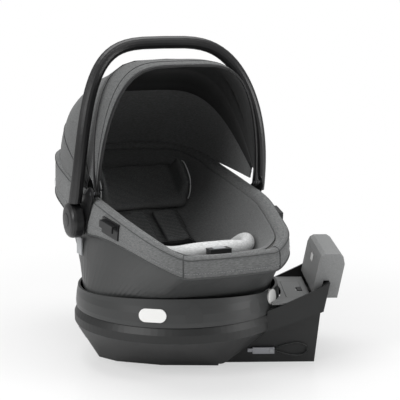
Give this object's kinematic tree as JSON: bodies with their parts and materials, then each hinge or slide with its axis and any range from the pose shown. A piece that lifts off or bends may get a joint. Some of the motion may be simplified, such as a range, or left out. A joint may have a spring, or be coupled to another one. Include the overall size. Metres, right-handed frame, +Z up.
{
  "type": "infant car seat",
  "caption": "Reclined infant carrier with arched swing handle, folding canopy and padded seat, docked on a turning base with an anti-rebound bar.",
  "frame": {"origin": "on the floor under the base, at the axis the turntable turns about", "axes": "+Z up; the carrier foot end points to -Y and its head end to +Y; +X is the side on the right of a person facing the foot end"},
  "size_m": [0.5664, 0.655, 0.652],
  "materials": {
    "shell_plastic": "moulded satin polypropylene, dark grey",
    "black_plastic": "satin black moulded plastic",
    "base_plastic": "fine textured charcoal plastic",
    "ring_plastic": "satin dark grey plastic",
    "grey_plastic": "light grey moulded plastic with a fine speckle",
    "white_plastic": "glossy white plastic",
    "red_plastic": "glossy red plastic",
    "melange_fabric": "grey melange woven fabric",
    "dark_fabric": "dark charcoal ribbed knit",
    "smooth_fabric": "smooth grey fabric",
    "webbing": "woven polyester webbing",
    "foam": "expanded bead foam",
    "steel": "plain steel",
    "rubber": "soft rubber"
  },
  "bodies": {
    "base": {"base_floor": "base_plastic", "base_shell": "base_plastic", "base_body": "base_plastic", "base_frame": "steel", "bearing_race": "steel", "bearing_balls": "steel", "base_panel": "grey_plastic", "base_feet": "rubber", "latch_connectors": "steel", "latch_webbing": "webbing"},
    "turntable": {"turntable_plate": "base_plastic", "turntable_ring": "ring_plastic", "dock": "base_plastic", "lock_indicator": "white_plastic"},
    "rotate_button": {"rotate_button": "white_plastic"},
    "carrier": {"carrier_shell": "shell_plastic", "foam_liner": "foam", "rim_cover": "melange_fabric", "seat_cover": "smooth_fabric", "body_insert": "dark_fabric", "seat_insert": "smooth_fabric", "leg_bolsters": "dark_fabric", "shoulder_straps": "webbing", "strap_pads": "dark_fabric", "crotch_strap": "webbing", "buckle": "black_plastic", "chest_clip": "black_plastic", "harness_adjuster": "black_plastic", "belt_guides": "black_plastic", "side_plates": "grey_plastic", "latch_bars": "steel", "side_bracket_left": "black_plastic", "side_bracket_right": "black_plastic", "pivot_pins": "steel", "detent_gears": "steel", "canopy_pins": "steel", "canopy_rear": "melange_fabric", "release_housing": "shell_plastic"},
    "head_support": {"head_support": "dark_fabric"},
    "buckle_button": {"buckle_button": "red_plastic"},
    "adjuster_button": {"adjuster_button": "grey_plastic"},
    "release_lever": {"release_lever": "grey_plastic"},
    "handle": {"handle_bar": "black_plastic", "handle_hub_left": "black_plastic", "handle_hub_right": "black_plastic"},
    "handle_button_left": {"handle_button_left": "black_plastic"},
    "handle_button_right": {"handle_button_right": "black_plastic"},
    "canopy_middle": {"canopy_mid": "melange_fabric", "canopy_mid_bow": "black_plastic"},
    "canopy_front": {"canopy_front": "melange_fabric", "canopy_front_bow": "black_plastic"},
    "tensioner_door": {"tensioner_door": "grey_plastic"},
    "tensioner_latch": {"tensioner_latch": "black_plastic"},
    "recline_lever": {"recline_lever": "grey_plastic"},
    "anti_rebound_bar": {"anti_rebound_bar": "grey_plastic"},
    "bar_button": {"bar_button": "white_plastic"},
    "connector_button_near": {"connector_button_near": "grey_plastic"},
    "connector_button_far": {"connector_button_far": "grey_plastic"}
  },
  "joints": [
    {"name": "turntable_spin", "type": "hinge", "parent": "base", "child": "turntable", "pos_m": [0, 0, 0.09], "axis": [0, 0, 1], "continuous": true},
    {"name": "rotate_button_press", "type": "slide", "parent": "turntable", "child": "rotate_button", "axis": [0.5834, 0.803, -0.1219], "range_m": [0, 0.003], "stiffness_N_per_m": 600},
    {"name": "carrier_lift", "type": "slide", "parent": "turntable", "child": "carrier", "axis": [0, 0, 1], "range_m": [0, 0.25]},
    {"name": "head_support_slide", "type": "slide", "parent": "carrier", "child": "head_support", "axis": [0, 0.7547, 0.6561], "range_m": [0, 0.03]},
    {"name": "buckle_button_press", "type": "slide", "parent": "carrier", "child": "buckle_button", "axis": [0, 0, -1], "range_m": [0, 0.002], "stiffness_N_per_m": 800},
    {"name": "adjuster_button_press", "type": "slide", "parent": "carrier", "child": "adjuster_button", "axis": [0, 0, -1], "range_m": [0, 0.0015], "stiffness_N_per_m": 600},
    {"name": "release_lever_squeeze", "type": "slide", "parent": "carrier", "child": "release_lever", "axis": [0, 0.703, 0.7112], "range_m": [0, 0.004], "stiffness_N_per_m": 900},
    {"name": "handle_swing", "type": "hinge", "parent": "carrier", "child": "handle", "pos_m": [0, 0.06, 0.285], "axis": [1, 0, 0], "range_deg": [-30, 50]},
    {"name": "handle_button_left_press", "type": "slide", "parent": "handle", "child": "handle_button_left", "axis": [1, 0, 0], "range_m": [0, 0.003], "stiffness_N_per_m": 700},
    {"name": "handle_button_right_press", "type": "slide", "parent": "handle", "child": "handle_button_right", "axis": [-1, 0, 0], "range_m": [0, 0.003], "stiffness_N_per_m": 700},
    {"name": "canopy_front_fold", "type": "hinge", "parent": "carrier", "child": "canopy_front", "pos_m": [0, -0.004, 0.347], "axis": [-1, 0, 0], "range_deg": [0, 46]},
    {"name": "canopy_middle_fold", "type": "hinge", "parent": "carrier", "child": "canopy_middle", "pos_m": [0, -0.004, 0.347], "axis": [-1, 0, 0], "range_deg": [0, 23]},
    {"name": "tensioner_door_hinge", "type": "hinge", "parent": "base", "child": "tensioner_door", "pos_m": [0.20491, -0.08279, 0.129], "axis": [-0.3746, -0.9272, 0], "range_deg": [0, 60]},
    {"name": "tensioner_latch_slide", "type": "slide", "parent": "tensioner_door", "child": "tensioner_latch", "axis": [-0.9272, 0.3746, 0], "range_m": [0, 0.0015], "stiffness_N_per_m": 500},
    {"name": "recline_lever_press", "type": "slide", "parent": "base", "child": "recline_lever", "axis": [0.9272, -0.3746, 0], "range_m": [0, 0.004], "stiffness_N_per_m": 900},
    {"name": "anti_rebound_bar_lift", "type": "slide", "parent": "base", "child": "anti_rebound_bar", "axis": [0.1849, -0.0747, 0.9799], "range_m": [0, 0.04]},
    {"name": "bar_button_press", "type": "slide", "parent": "anti_rebound_bar", "child": "bar_button", "axis": [0.9086, -0.3671, -0.1994], "range_m": [0, 0.003], "stiffness_N_per_m": 600},
    {"name": "connector_near_press", "type": "slide", "parent": "base", "child": "connector_button_near", "axis": [0.3746, 0.9272, 0], "range_m": [0, 0.001], "stiffness_N_per_m": 600},
    {"name": "connector_far_press", "type": "slide", "parent": "base", "child": "connector_button_far", "axis": [-0.3746, -0.9272, 0], "range_m": [0, 0.001], "stiffness_N_per_m": 600}
  ],
  "couplings": [
    {"joint": "canopy_middle_fold", "follows": "canopy_front_fold", "ratio": 0.5}
  ]
}
